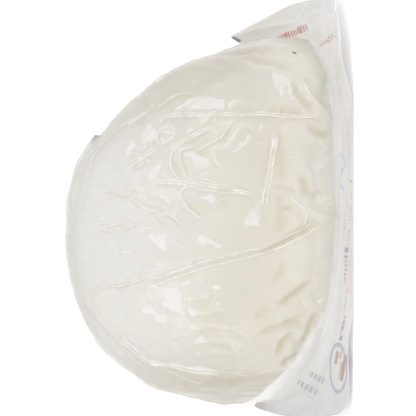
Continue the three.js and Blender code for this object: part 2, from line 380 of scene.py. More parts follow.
SWELLS = [
    (0.6, 1.6, [(-23.6, 13.4), (-21.8, 10.6)]),
    (0.5, 1.3, [(-37.6, 18.2), (-35.6, 17.2), (-33.8, 15.4)]),
    (0.6, 1.8, [(-1, 17.8), (2.5, 16.5)]),
    (0.7, 1.4, [(1.6, 5), (2, 9), (4, 12.5), (6.5, 14.5)]),
    (0.8, 1.3, [(26, 4.5), (30, 8), (36, 12), (42, 15)]),
    (0.4, 3.0, [(-17, 15.5), (-12, 15)]),
]

# The long crown line on the left, where the film's taut front panel ends.
LEFT_CROWN_LINE = [
    (-21.1, 76.6), (-26.9, 71.7), (-31.7, 67.1), (-36, 62.3), (-39.1, 58.3), (-41.1, 50.9), (-42.3, 43.4),
]
# The taut front panel of the film, inside its long crown lines; outside it the film lies in fine strands.
PANEL = LEFT_CROWN_LINE + [
    (-43.2, 33), (-42, 20), (-34, 9), (-20, 2), (0, -2), (25, -2), (40, 3), (47, 12), (46.5, 25), (42.5, 35),
    (36.6, 45.1), (35, 50.4), (31.3, 57.1), (26.6, 65.1), (18.3, 72.9), (12, 75.4), (0, 77.2), (-10, 77.8),
]


def panel_depth(surface):
    """How far inside the panel each point lies, in mm, on the front and in the same way on the back."""
    depth = np.zeros(surface.t.shape)
    for _, (x, height, facing) in surface.views(0.5, seed=67):
        inside = inside_polygon(x, height, PANEL) - 5 * (1 - smooth(0, 0.3, facing))
        depth = np.where(facing > 0, inside, depth)
    return depth


def soft_relief(surface):
    """The cheese's own gentle shape, in mm, and how deep in a crease each point is, 0..1."""
    base = surface.base
    low = 1 - smooth(20, 50, base[..., 2])
    relief = 0.35 * layered(base / 17.0, seed=3)
    relief += low * 0.35 * layered(base / np.array([8.0, 8.0, 13.0]), seed=11)
    crease = np.zeros_like(relief)
    for _, view in surface.views(0.4):
        for depth, width, path in CREASES + SWELLS:
            close, distance, along = along_path(view, path, width * 3.2)
            share = np.abs(distance) / width
            fade = ends_fade(along, 0.3)
            stroke = bell(share) * fade
            lips = LIP_HEIGHT * bell((share - 2) / 0.7) * fade
            relief[close] += CREASE_DEPTH * depth * (stroke - lips)
            if depth < 0:
                crease[close] = np.maximum(crease[close], stroke * min(1, -depth))
    hold = smooth(0, 0.03, surface.t) * (1 - smooth(0.93, 1, surface.t))
    return relief * hold, crease * hold


# ---------- Relief of the film alone ----------

LINE_GROUPS = 4  # the film's mesh tells the nearest line of each group
LINE_REACH = 2.0  # how far from a line the mesh tells of it, mm
LINE_RISE = 0.22  # how far a line of full share lifts the film, mm
PATCH_RISE = 0.06  # how far a flat patch stands off the skin
PATCH_LEAN = 0.02  # how far the patches turn away from an exact mirror, each its own way

# The longest line, down the front from the left shoulder.
LONG_LINE = [
    (-17, 57.1), (-16.6, 54), (-14.9, 50), (-13.6, 45.6), (-12.3, 42.2), (-10.9, 36.6), (-9.1, 29.7),
    (-7.7, 24), (-5.4, 18.3), (-2.9, 13.1), (0.3, 8.9),
]
# Pinched lines of the film: half the gap between two crests (0 for one crest), height share, path.
LINES = [
    (0.45, 0.6, [(-20.9, 77.4), (-19.7, 74.3), (-18.6, 71.1), (-17.6, 68)]),
    (0.45, 0.8, [(-17.3, 67.7), (-17.8, 65.6), (-17.1, 62.6), (-16, 59.4), (-14.7, 56.6)]),
    (0.0, 0.8, [(-15.7, 61.7), (-14.4, 59.4), (-13.5, 56), (-13.6, 54.4)]),
    (0.85, 1.0, LONG_LINE),
    (0.0, 0.8, [(-13.4, 49.4), (-12.6, 45.7), (-10.7, 44.8), (-10.1, 41.4)]),
    (0.0, 0.8, [(-2.2, 71), (-3, 68.2), (-3.3, 66.4)]),
    (0.0, 1.0, [(-2.2, 71), (-1.3, 69), (-0.9, 67.1), (-0.1, 63.5)]),
    (0.4, 0.9, [(-1.9, 64.8), (-0.9, 62.5), (0.1, 60.7)]),
    (0.0, 0.6, [(-2.3, 70.3), (-2.1, 67.7), (-1.9, 65.4)]),
    (0.0, 1.0, [(7.1, 61.7), (4.9, 60.4), (3.5, 58.1), (2.7, 55.4), (0.7, 54.1), (-0.1, 52.3)]),
    (0.3, 0.9, [(7.1, 60.7), (5.6, 58.3), (4.6, 55.2)]),
    (0.0, 0.9, [(2.5, 53.1), (1.2, 50.5), (-0.9, 48.4)]),
    (0.0, 0.8, [(5.9, 52.1), (3.8, 50.5)]),
    (0.25, 0.7, [(8, 57.4), (6.9, 54), (5.1, 51.4)]),
    (0.0, 1.0, [(0.6, 42.3), (2.2, 44.3), (3.8, 46.2), (7.1, 48), (8.9, 47.4), (9.7, 46.3)]),
    (0.3, 0.8, [(8.6, 70.9), (9.4, 68.6), (8, 65.4), (8.2, 63.1), (9.3, 61.8), (9, 60), (7.9, 58.7)]),
    (0.4, 1.0, [(10.9, 55.7), (10.9, 51.4), (10.3, 45.4), (9.3, 42.3), (8.7, 37.1), (8.2, 31.9),
                (7.4, 27.7)]),
    (0.3, 0.9, [(11.4, 47.1), (10, 39.7), (9.8, 35.9), (8.5, 31.9), (7.9, 28.9)]),
    (0.0, 0.8, [(11.9, 42.6), (10.8, 38.4)]),
    (0.4, 1.0, [(16, 62.6), (17, 61), (18.3, 58.7), (19.6, 56.6), (20.9, 54.6)]),
    (0.0, 0.8, [(17.4, 61.1), (19.4, 58.9), (21.7, 58.1)]),
    (0.0, 1.0, [(11.7, 47.7), (12.1, 48.6), (13.4, 49.9), (15.2, 50.7), (17.8, 50.8), (19.9, 50.1)]),
    (0.0, 1.0, [(11.9, 46.5), (14.2, 47.3), (17.3, 48.3), (19.4, 48.4), (20.4, 47), (21.2, 44.9),
                (23.3, 42.1), (25.6, 39.2)]),
    (0.3, 0.8, [(21.1, 49.1), (22.2, 47.8), (24.1, 44.9), (25.6, 41.8), (26.4, 39.7)]),
    (0.0, 0.9, [(19.9, 43.1), (21.4, 40.8), (22.7, 38.4), (23.3, 36.9), (25.6, 35.6), (26.9, 34)]),
    (0.0, 0.9, [(19.6, 40.8), (18.3, 39), (16.3, 38.2), (15, 36.9)]),
    (0.25, 0.7, [(21.4, 54.6), (24.1, 55.1), (25.6, 53.8), (26.9, 51.7), (26.4, 50.4), (25.1, 49.9)]),
    (0.35, 1.0, [(26.7, 54.8), (28.7, 53.3), (29.8, 50.1), (30, 42.3), (30, 32), (30, 22.9), (29.7, 14.3),
                 (29.4, 8)]),
    (0.0, 0.7, [(12, 75.4), (18.3, 72.9), (23.7, 68.6), (26.6, 65.1), (29.3, 61), (31.3, 57.1), (33.7, 52.5),
                (35, 50.4), (36, 48.1), (36.6, 45.1)]),
    (0.4, 0.9, LEFT_CROWN_LINE + [(-42.6, 36.6)]),
    (0.3, 0.8, [(-21.7, 72.3), (-26.9, 71.6), (-30.9, 66.3), (-34.9, 60)]),
    (0.55, 1.0, [(4, 24.9), (8, 24.6), (12, 23.4), (17.4, 22.7), (21.7, 21.9), (25.4, 21.9)]),
    (0.0, 0.9, [(-1.9, 14.3), (0.3, 13.1), (2.6, 13.4), (4.9, 15.7), (7.1, 18)]),
    (0.0, 0.5, [(0.6, 3.7), (1.4, 8), (2.6, 11.7), (4.9, 14.9)]),
    (0.0, 0.6, [(27.4, 5.4), (31.6, 8.8), (36.4, 12), (40.6, 14.6)]),
]

# Soft milky bands where the film lies double; some are partly painted highlight and painted light, as noted:
# how milky, half width, path.
BANDS = [
    # This wide band is partly painted light, which lifts the shaded foot at the front.
    (0.50, 6.0, [(3, 8), (14, 9.5), (26, 8)]),
    (0.25, 4.0, [(-34, 9), (-22, 7), (-8, 6)]),
    (0.20, 3.0, [(9, 17), (15, 17.4), (21, 16.6)]),
    (0.50, 1.4, [(0.6, 2.4), (1.6, 7), (3.1, 12), (5.1, 15.7), (7.4, 18)]),
    (0.35, 0.9, [(-2.5, 14.6), (0.3, 13.3), (2.6, 12)]),
    (0.45, 2.2, [(-2.4, 8), (-5.6, 14), (-8.6, 20)]),
    (0.55, 1.3, [(24, 3), (28, 6.4), (33.1, 10.1), (36.6, 12.5), (40.4, 15)]),
    (0.35, 1.0, [(24.4, 3.6), (28.4, 9), (29.6, 14)]),
    (0.40, 0.8, [(37, 4.8), (41.4, 8.6), (45.4, 13)]),
    (0.60, 1.1, [(5, 25.2), (12, 23.8), (18, 22.6), (25.7, 21.6)]),
    (0.25, 1.0, LONG_LINE[4:-1] + [(-0.6, 9.9)]),
    (0.30, 0.9, [(22.6, 11.6), (24, 8.3), (25.5, 4)]),
    # These two thin bands along the seal are painted glints.
    (0.80, 0.4, [(12.6, 4.8), (17.4, 4.7), (22.6, 5.4)]),
    (0.80, 0.4, [(4, 6.8), (4.9, 6), (5.6, 4.6)]),
    # The bands along the crown lines are partly painted highlights.
    (0.60, 1.2, [(-39.4, 59), (-40.6, 53), (-41.3, 46), (-41.8, 37)]),
    (0.45, 0.9, [(-38.5, 57.4), (-30.5, 66.8), (-22, 73)]),
    (0.35, 1.5, [(17, 72.4), (22.6, 68.4), (27.4, 62.2), (31.6, 54.6), (34.6, 48)]),
    (0.25, 0.9, [(29.2, 44), (29.4, 34), (29.3, 24)]),
]

# Flat patches of stretched film that catch a lamp: corners as (x, seen height).
PATCHES = [
    [(-28, 55.1), (-26.9, 56.3), (-25.6, 58.9), (-24.3, 60.1), (-24.8, 57), (-25.8, 55.1), (-26.3, 53.1),
     (-28, 52.6)],
    [(-23.7, 54.1), (-24.6, 51.3), (-25.7, 48), (-21.7, 47.7), (-18.3, 49.1), (-18.8, 53.1), (-18, 56.6),
     (-19.3, 53.7), (-21.4, 52.7), (-23, 54.1)],
    [(-26.6, 45.7), (-26.3, 44), (-25.7, 41.7), (-25.1, 43.7), (-24.6, 45.1), (-22.9, 45.4), (-21.7, 44.9),
     (-21, 43.4), (-21.1, 45.7), (-23.4, 46.6), (-25.7, 46.4)],
    [(-18.3, 48.3), (-17.3, 47.7), (-17.1, 44.9), (-17.9, 45.4)],
    [(-17, 44), (-16.3, 43.7), (-15.9, 41.1), (-16.6, 41.4)],
    [(-4, 57.7), (-3.1, 57.6), (-3.5, 55.2), (-3.4, 52.3), (-8.3, 52.3), (-7.6, 54.1), (-5.9, 55.6)],
    [(-3.2, 60.9), (-2.6, 60.6), (-1.4, 57.7), (-1.3, 55.1), (-1.7, 53.6), (-2.1, 57.1)],
    [(-7.6, 69.5), (-6.9, 69), (-6.3, 66.9), (-6.9, 67.4)],
    [(-8.9, 65.9), (-8.4, 65.4), (-8, 61.7), (-8.9, 62.9)],
    [(0.1, 71.8), (0.6, 71.4), (1.1, 69.3), (0.6, 70)],
    [(1.8, 59.1), (2.3, 58.3), (2, 56.3), (1.5, 56.9)],
    [(16.6, 58), (17.1, 57.7), (17.7, 55.1), (16.9, 55.4)],
    [(12.9, 57.9), (14.2, 57), (15.4, 55.9), (16.6, 52.6), (14.2, 53.9), (12, 54.9), (11.6, 56.1)],
    [(17.3, 64.7), (19.6, 63.6), (20.9, 63.1), (22.6, 62.3), (21.6, 60.6), (19.7, 60.9), (19.4, 62.6)],
    [(18.6, 60.1), (22, 58.9), (24.3, 59.6), (26.7, 57.9), (28.3, 56.9), (25.9, 56.1), (24.3, 55.1),
     (21.1, 55), (22.2, 56.9), (22.6, 57.9), (19.7, 58.7)],
    [(21.3, 53.1), (22.7, 53.4), (24.9, 54.1), (26.3, 51.7), (25.9, 50.5), (24.6, 49.3), (23.4, 50),
     (24.9, 51.4), (24.3, 53), (22.3, 52.4), (23.6, 50), (22.9, 50.3)],
    [(19.4, 47.3), (20, 43.6), (19.4, 39.7), (18.3, 40.6), (15.5, 39.7), (14.6, 41.3), (14.6, 43.1),
     (13.6, 44.1), (15.7, 43.6), (17.4, 45.6)],
    [(7.7, 45.6), (8.4, 42.3), (7.3, 39.3), (5.9, 37.7), (4.3, 39.7), (5.7, 42.4)],
    [(30.9, 51.1), (32.9, 48.6), (34.4, 46), (35.3, 42.3), (35, 37.1), (34, 34.9), (31.4, 36.3), (31.3, 42.3),
     (31.1, 45.7), (32.3, 46.9), (33.7, 44), (32.9, 47.3), (31.1, 49.1)],
    [(30.6, 34.5), (33.4, 35.1), (35.1, 31.4), (33.4, 33.4)],
    [(25.9, 65.9), (27.7, 64.3), (29.9, 60), (31.1, 57.4), (29.4, 58), (27.7, 59.4), (27.3, 62)],
    [(27.3, 43.5), (30, 43.7), (29.9, 38.4), (28.2, 40.6)],
    [(24.4, 46.6), (26.7, 45.6), (25.4, 44.4), (25.1, 45.7)],
    [(26.5, 36.3), (28.2, 36), (28.6, 32.1), (27.3, 34)],
    [(19, 35.1), (20, 33.1), (22.6, 30.9), (25.4, 28.7), (20.9, 29.9), (19.3, 31.6)],
    [(20.7, 35.7), (23.3, 35.2), (25.4, 33.4), (26.4, 31.3), (23.5, 32.7), (21.1, 34.3)],
    [(-6.9, 43.4), (-3.4, 43.7), (-4, 41.1), (-5.4, 38.3), (-7.4, 36.4), (-6.7, 40)],
    [(-2, 30.6), (0.6, 30.9), (5.4, 27.1), (6.6, 25.1), (3.4, 25), (-1.1, 26.3)],
    [(34, 20.9), (36.6, 20.7), (38.6, 22), (42, 22.6), (40.9, 19.1), (38.9, 16.6), (34.6, 17.1), (38.3, 18.3),
     (36.6, 19.1), (34.3, 19.7)],
    [(31.3, 21.1), (32.9, 20.3), (32.3, 19.7), (30.9, 20.6)],
    [(15.1, 16.7), (18.3, 16.4), (18, 15.1), (16, 15.9)],
    [(20.3, 26.9), (22.3, 26.9), (22, 25.4)],
    [(25.4, 26.6), (28.3, 25.7), (26.6, 24.9)],
    [(-37.7, 45.1), (-36.9, 45.4), (-36.9, 42), (-37.7, 42.9)],
    [(-34.6, 44.3), (-33.1, 44.9), (-32.6, 42), (-34, 41.1)],
    [(-30.6, 45.4), (-28.9, 46), (-29.4, 44), (-30.3, 41.4), (-30.9, 43.1)],
    [(-19.4, 39.1), (-18.3, 38.9), (-18.6, 37.1), (-19.4, 37.7)],
    [(-24, 38.6), (-22.9, 38.3), (-23.4, 36.9)],
    [(31.7, 56.6), (32.9, 56.3), (34, 54.3), (32.6, 54.9)],
    [(33.7, 52.3), (34.6, 51.4), (36.1, 47.9), (34.9, 49.7)],
    [(19.1, 22.3), (21.7, 22.9), (24.6, 22.3), (25.7, 21.7), (22.3, 21.3)],
    [(-40.6, 57.1), (-39.1, 58.3), (-40.6, 51.4), (-41.7, 45.7), (-41.7, 50)],
    [(-22.6, 9.9), (-21.4, 9.6), (-20.2, 8.4), (-21.8, 8.9)],
    [(-38.6, 13.4), (-37.8, 13.2), (-37.6, 12.6), (-38.3, 12.8)],
]

# Softboxes: azimuth from the front, positive to the right, elevation, width and height, radiance.
LAMPS = {
    "key": (-58, 50, (528, 505), 0.92),
    "high": (60, 58, (448, 448), 0.92),
    "left": (-74, 22, (150, 760), 1.6),
    "right": (74, 24, (150, 760), 1.6),
}
LAMP_DISTANCE = 900.0


def direction(azimuth, elevation):
    """The way to something seen from the pack."""
    a, e = math.radians(azimuth), math.radians(elevation)
    return np.array([math.sin(a) * math.cos(e), -math.cos(a) * math.cos(e), math.sin(e)])


def lit_patches(surface, relief):
    """Turns each flat patch to a lamp: the new relief, signed distance to a patch, and its normal."""
    # A mirror that faces one of these ways shows a lamp to the viewer.
    mirrors = [unit(direction(azimuth, elevation) + TO_VIEWER) for azimuth, elevation, _, _ in LAMPS.values()]
    inside = np.full(relief.shape, -3.0)
    facing_lamp = np.zeros(surface.base.shape)
    for back, (x, height, facing) in surface.views(0.45, seed=71):
        for number, corners in enumerate(PATCHES):
            depth = np.where(facing > (0.3 if back else 0.05), inside_polygon(x, height, corners), -1e3)
            if depth.max() < 0.1:
                continue
            middle = np.unravel_index(depth.argmax(), depth.shape)
            home, normal = surface.base[middle], surface.normal[middle]
            lean = PATCH_LEAN * np.array([math.sin(number * 2.4), 0, math.cos(number * 1.7)])
            ways = [unit(mirror + lean) * TURNS[back] for mirror in mirrors]
            wanted = max(ways, key=lambda way: way @ normal)
            plane = -((surface.base - home) @ wanted) / np.maximum(surface.normal @ wanted, 0.2)
            mask = smooth(-0.7, 0.5, depth)
            relief = relief * (1 - mask) + (np.clip(plane, -0.3, 0.3) + PATCH_RISE) * mask
            facing_lamp[depth > inside] = wanted
            inside = np.maximum(inside, depth)
    return relief, inside, facing_lamp


def line_groups():
    """Sorts the lines into groups whose members lie far apart."""
    groups = [[] for _ in range(LINE_GROUPS)]
    places = [[] for _ in range(LINE_GROUPS)]
    for line in LINES:
        here = np.array(line[2], float)
        here = np.concatenate([here + (np.roll(here, -1, axis=0) - here) * f for f in (0, 0.5)])[:-1]

        def room(group):
            return min((np.linalg.norm(here[:, None] - p, axis=-1).min() for p in places[group]), default=1e3)

        best = max(range(LINE_GROUPS), key=room)
        groups[best].append(line)
        places[best].append(here)
    return groups


def pinched_lines(surface, relief):
    """Raises the film along its lines and tells, by group, signed distance, half gap and strength."""
    views = list(surface.views(0.22, seed=81))
    told = []
    for group in line_groups():
        nearest = np.zeros(surface.base.shape)
        nearest[..., 0] = LINE_REACH
        for back, view in views:
            for gap, share, path in group:
                close, distance, along = along_path(view, path, LINE_REACH + 1)
                fade = ends_fade(along, 0.1) * smooth(0.02, 0.2, view[2][close] - (0.2 if back else 0))
                uneven = 0.95 + 0.45 * noise(surface.base[close] / 5.0, seed=91)
                relief[close] += LINE_RISE * share * bell(distance / (gap + 0.6)) * fade * uneven
                reach = 1 - smooth(0.6 * LINE_REACH, LINE_REACH, np.abs(distance))
                line = np.broadcast_arrays(distance, gap, share * fade * uneven * reach)
                nearer = np.abs(distance) < np.abs(nearest[close][:, 0])
                nearest[close] = np.where(nearer[:, None], np.stack(line, axis=-1), nearest[close])
        told.append(nearest)
    return relief, told


# The fold of spare film on the crown: where it ends in x, its length, its middle in y, its height.
FOLD_END, FOLD_LENGTH, FOLD_MIDDLE, FOLD_HEIGHT = 23.4, 12.0, 4.0, 1.25


def outline_place(surface):
    """A place across and along the outline seen from the front, in mm."""
    turn = np.arctan2(surface.base[..., 2] - 24, surface.base[..., 0])
    return np.stack([surface.base[..., 1], turn * 50, 0 * turn], axis=-1)


def film_relief(surface, rim):
    """How far the film stands off the smooth skin, in mm, before its lines and patches."""
    base = surface.base
    front = smooth(0.05, 0.4, surface.normal @ TO_VIEWER)
    height = seen_height(base)
    belt = smooth(24, 34, height) * (1 - smooth(72, 79, height))
    lively = 0.12 + 0.88 * np.where(front > 0, front * belt, smooth(20, 30, base[..., 2]))

    warp = base + 1.6 * np.stack([layered(base / 9.0, seed=s) for s in (21, 22, 23)], axis=-1)
    relief = 0.34 * (facets(warp / 9.0, seed=5) - 0.5) * 2 * lively
    relief += 0.16 * (facets(warp / 3.8, seed=6) - 0.5) * 2 * lively
    relief += 0.10 * layered(base / 5.0, seed=31)

    # Long thin pleats that run along the outline, over the crown and down the sides.
    lines = outline_place(surface) / np.array([4.6, 34.0, 1.0])
    relief += rim * (0.28 * ridges(lines, seed=41) ** 3 + 0.08 * ridges(lines * [2.3, 1.3, 1], seed=42) ** 3)

    # The fold of spare film stands up on the crown's right shoulder and ends in a sharp edge.
    x, y = base[..., 0], base[..., 1]
    slanted = x + 0.08 * (y - FOLD_MIDDLE)
    tent = np.clip((x - FOLD_END) / FOLD_LENGTH + 1, 0, 1) * (1 - smooth(FOLD_END, FOLD_END + 0.5, slanted))
    relief += FOLD_HEIGHT * tent * bell((y - FOLD_MIDDLE) / 5.0, 4) * smooth(40, 50, base[..., 2])

    # Gathers that fan up from the seal.
    foot = 1 - smooth(1, 9, surface.above_seal)
    fan = np.stack([surface.u * 60, surface.t * 3, surface.u * 0], axis=-1)
    relief += foot * 0.3 * ridges(fan, seed=51) ** 2
    return relief


UPRIGHT = 7.0  # the bag stands upright up to this height above the seal


def foot_shift(surface, share):
    """Moves the foot of the bag outwards onto the flange, so that it stands upright there."""
    out = np.linalg.norm(surface.base[..., :2], axis=-1)
    above = surface.above_seal
    widest = out[np.abs(above - UPRIGHT).argmin(axis=0), np.arange(out.shape[1])]
    flare = 1.4 * np.clip(1 - above / 1.5, 0, 1) ** 2
    target = widest - 0.06 * (UPRIGHT - above) + flare
    reach = share * np.maximum(target - out, 0) * (above < UPRIGHT) * (1 - 0.8 * surface.left_front)
    seal, edge = seal_line(surface.u[0]), edge_line(surface.u[0])
    width = np.linalg.norm((edge - seal)[:, :2], axis=-1)
    landing = flange_point(surface.u[0], np.clip(reach[0] / width, 0, 1))[:, 2] - seal[:, 2]
    shift = unit(surface.base * [1, 1, 0]) * reach[..., None]
    shift[..., 2] = landing * (1 - smooth(0, 2.5, above))
    return shift


# ---------- Meshes ----------


def make_mesh(name, points, faces):
    mesh = bpy.data.meshes.new(name)
    mesh.from_pydata(metres(points).tolist(), [], faces)
    mesh.update()
    piece = bpy.data.objects.new(name, mesh)
    bpy.context.scene.collection.objects.link(piece)
    return piece


def ring_mesh(name, grid, top, *bottom):
    """A piece from rings that go up anticlockwise, closed by a tip at the top and perhaps at the bottom."""
    rows, columns = grid.shape[:2]
    tip = rows * columns
    here = np.arange(columns)
    after = (here + 1) % columns
    pairs = np.stack([here, after], axis=-1)
    faces = []
    for start in range(0, tip - columns, columns):
        faces += np.hstack([pairs + start, pairs[:, ::-1] + start + columns]).tolist()
    faces += [(a, b, tip) for a, b in (pairs + tip - columns).tolist()]
    if bottom:
        faces += [(b, a, tip + 1) for a, b in pairs.tolist()]
    piece = make_mesh(name, np.concatenate([grid.reshape(-1, 3), [top, *bottom]]), faces)
    piece.data.shade_smooth()
    return piece


def tell(piece, name, values, *tips):
    """Stores one number or one vector for each point of a piece's grid, and for its tips."""
    values = np.concatenate([np.reshape(values, (-1, *np.shape(tips[0]))), tips]).astype(np.float32)
    kind, field = ("FLOAT", "value") if values.ndim == 1 else ("FLOAT_VECTOR", "vector")
    piece.data.attributes.new(name, kind, "POINT").data.foreach_set(field, values.ravel())


def level_crown(surface, relief):
    """Levels the relief round the crown's last rings, where the columns crowd together."""
    share = smooth(0.97, 1.0, surface.t)
    return relief * (1 - share) + relief.mean(axis=1, keepdims=True) * share


def crown_tip(points):
    """The point that closes a grid's last ring."""
    return points[-1].mean(axis=0) + [0, 0, 0.02]


CHEESE_FLOOR = 0.7  # height of the cheese's flat underside
FLAT_SHARE = 0.6  # how far out it is flat, as a share of the way to the foot


def cheese():
    surface = Surface(rows=235)
    relief, crease = soft_relief(surface)
    foot = 1 - smooth(0, surface.gap - 0.4, surface.above_seal)
    inset = 0.3 + (0.8 + 1.6 * surface.left_front) * foot
    points = surface.base + foot_shift(surface, 0.9)
    points = points + surface.normal * level_crown(surface, relief - inset)[..., None]
    points[..., 2] = np.clip(points[..., 2] + 0.3 * foot, CHEESE_FLOOR + 0.1, BALL_HEIGHT - 0.3)
    under = []
    for share in (FLAT_SHARE, 0.8, 0.93):
        ring = points[0] * share
        rise = ((share - FLAT_SHARE) / (1 - FLAT_SHARE)) ** 1.5
        ring[:, 2] = CHEESE_FLOOR + (points[0, :, 2] - CHEESE_FLOOR) * rise
        under.append(ring)
    grid = np.concatenate([under, points])
    piece = ring_mesh("cheese_ball", grid, crown_tip(points), (0, 0, CHEESE_FLOOR))
    # The crease share also paints shade into the creases of the cheese's colour.
    tell(piece, "crease", np.concatenate([np.zeros_like(crease[:3]), crease]), 0, 0)
    return piece


# On the taut panel the extra milkiness is partly painted reflection of the lamps.
CLEAR_HAZE, VEIL = 0.36, 0.42  # how milky the film looks at its clearest and on the taut panel


def spare_film(surface):
    """Where the fold of spare film lies, in 0..1."""
    x, y, z = np.moveaxis(surface.base, -1, 0)
    spare = smooth(FOLD_END - 8, FOLD_END - 0.5, x) * (1 - smooth(FOLD_END + 0.6, FOLD_END + 1.2, x))
    return spare * smooth(40, 50, z) * bell((y - FOLD_MIDDLE) / 6.0, 4)


def haze_and_sheen(surface, panel, spare):
    """How milky the film looks: where it spans air above the seal, on the panel, spare or double. On the
    panel and in some bands this white is partly painted reflection and highlight.
    """
    web = smooth(surface.gap + 1.2, surface.gap - 0.8, surface.above_seal) * (0.8 + 0.15 * surface.left_front)
    (across, front_height, facing), (_, back_height, _) = surface.seen(False), surface.seen(True)
    height = np.where(facing > 0, front_height, back_height) + 0.3 * across
    veil = CLEAR_HAZE + (VEIL - CLEAR_HAZE) * smooth(0, 3, panel) * smooth(24, 44, height)
    bands = np.zeros_like(web)
    for _, view in surface.views(0.35, seed=75):
        for milk_and_sheen, width, path in BANDS:
            close, distance, along = along_path(view, path, width * 2.2)
            band = milk_and_sheen * bell(distance / (width * (1 - 0.5 * along))) * ends_fade(along, 0.15)
            band = band * (0.85 + 0.25 * noise(surface.base[close] / 4.0, seed=77))
            bands[close] = np.maximum(bands[close], band)
    return np.max([web, veil, spare, bands], axis=0)


def clear_film():
    surface = Surface(rows=225)
    soft, _ = soft_relief(surface)
    panel = panel_depth(surface)
    rim = (1 - smooth(-2.5, 1.5, panel)) * (1 - 0.7 * smooth(24, 34, surface.base[..., 0]))
    own, lines = pinched_lines(surface, film_relief(surface, rim))
    relief, inside, facing_lamp = lit_patches(surface, soft + np.maximum(own, -0.2))
    relief = level_crown(surface, relief * smooth(-0.02, 0.04, surface.t))
    points = surface.base + foot_shift(surface, 1.0) + surface.normal * relief[..., None]
    points[..., 2] = np.clip(points[..., 2], 0.3, BALL_HEIGHT - 0.05)
    piece = ring_mesh("clear_film", points, crown_tip(points))

    spare = spare_film(surface)
    strand = outline_place(surface)
    strand[..., 2] = rim + spare
    tell(piece, "haze_and_sheen", haze_and_sheen(surface, panel, spare), 0)
    tell(piece, "strand", strand, (0, 0, 0))
    tell(piece, "patch", inside, -3)
    tell(piece, "patch_normal", facing_lamp, (0, 0, 1))
    for number, line in enumerate(lines):
        tell(piece, "line%d" % number, line, (LINE_REACH, 0, 0))
    return piece


def base_point(u, t):
    """The flat lid film under the ball: t runs from the flat middle to the seal."""
    seal = seal_line(u)
    out = FLAT_MIDDLE + (1 - FLAT_MIDDLE) * t
    return np.stack([seal[..., 0] * out, seal[..., 1] * out, smooth(0, 1, t) * seal[..., 2]], axis=-1)


def flange_point(u, t):
    """The lid film's flange: t runs from the seal to the outer edge, with a sag between them."""
    seal, edge = seal_line(u), edge_line(u)
    middle = (seal + edge) / 2
    middle[..., 2] -= FLANGE_SAG * np.abs(edge[..., 2] - seal[..., 2])
    f = t[..., None]
    point = seal * (1 - f) ** 2 + middle * 2 * f * (1 - f) + edge * f * f
    point[..., 2] = np.maximum(point[..., 2], 0)
    return point


LID_FILM = 0.3  # thickness of the two sealed films
FOLDS_END = 46.0  # y behind which the front view's folds aren't laid on the flange

# Ridges and dents of the flange: height and half width in mm, and the path as (x, seen height).
LID_FOLDS = [
    (0.6, 0.5, [(53.7, 32.6), (54.9, 28.6), (56, 24.3), (56.6, 19.1), (57.1, 13.7)]),
    (-0.2, 1.0, [(52, 31), (53.3, 27), (54.3, 22), (54.9, 17)]),
    (0.7, 0.7, [(54.8, 13.1), (57.7, 13.7), (60, 12.9), (62.6, 11.7)]),
    (-0.6, 0.8, [(55.4, 11.4), (58, 11.7), (62, 10.3)]),
    (0.4, 0.5, [(54.6, 17.1), (57.7, 19.4), (59.7, 22.3)]),
    (0.7, 0.5, [(58.7, 11.1), (59, 8), (58.9, 4.6)]),
    (-0.5, 0.8, [(60, 10.5), (60.2, 8), (60, 6)]),
    (0.5, 1.0, [(45, 9.5), (51, 9), (57, 10)]),
    (-0.5, 1.4, [(44, 6), (50, 5), (57, 6.5)]),
    (0.5, 1.0, [(-53, 24), (-50.5, 17), (-47, 10), (-44, 6.5)]),
    (-0.5, 1.2, [(-54, 20), (-52, 12), (-50, 6)]),
    (0.4, 0.5, [(-51, 9), (-48, 7.5), (-44, 7), (-38, 6.2)]),
    (0.5, 0.5, [(-49.8, 5.5), (-44, 6.8), (-36, 5.6), (-28, 4.4), (-19, 3.6)]),
    (-0.4, 0.5, [(-50, 4), (-42, 5.6), (-34, 4.6), (-25, 3.6)]),
    (0.3, 0.3, [(-24, 2.4), (-12, 3.2), (0, 2.4), (12, 1.6)]),
    (0.3, 0.3, [(6, 3.2), (18, 2.2), (30, 2.6), (40, 4.6)]),
]


def lid_film():
    columns, inner_rows, flange_rows = 900, 6, 34
    u = columns_round(columns, 1.2)
    inner = [base_point(u, np.full(columns, t)) for t in np.linspace(0, 1, inner_rows + 1)[:-1]]
    flange = [flange_point(u, np.full(columns, t)) for t in np.linspace(0, 1, flange_rows)]
    under = np.array(inner + flange)
    out = np.clip((np.arange(len(under)) - inner_rows) / (flange_rows - 1.0), 0, 1)[:, None]
    ripple = 0.35 * layered(under / np.array([8.0, 8.0, 20.0]), 81, layers=3) * smooth(0, 1.5, under[..., 2])
    crumple = 0.22 * (facets(under / np.array([6.0, 9.0, 6.0]), 83) - 0.5) * smooth(-0.2, 1.0, under[..., 2])
    view = (under[..., 0], seen_height(under), np.where(under[..., 1] < FOLDS_END, 1.0, -1.0))
    folds = np.zeros_like(ripple)
    for height, width, path in LID_FOLDS:
        close, distance, along = along_path(view, path, width * 3)
        folds[close] += 0.55 * height * bell(distance / width) * ends_fade(along, 0.2)
    lift = (ripple + crumple + folds) * smooth(0.08, 0.35, out) * smooth(0, 0.06, 1 - out)
    under = under - grid_normals(under) * lift[..., None] * np.array([0.8, 0.8, 1.0])
    under[..., 2] = np.maximum(under[..., 2], 0)
    over = under + [0, 0, LID_FILM]
    piece = ring_mesh("printed_lid_film", np.concatenate([under, over[::-1]]), (0, 0, LID_FILM), (0, 0, 0))
    # Where the flange is painted paler, against the shade of the ball.
    near = np.repeat(1 - smooth(0, 0.4, out), columns, axis=1)
    tell(piece, "near_seal", np.concatenate([near, near[::-1]]), 1, 1)
    return piece


# ---------- Nodes ----------

MM = 0.001
WHITE = (1, 1, 1, 1)


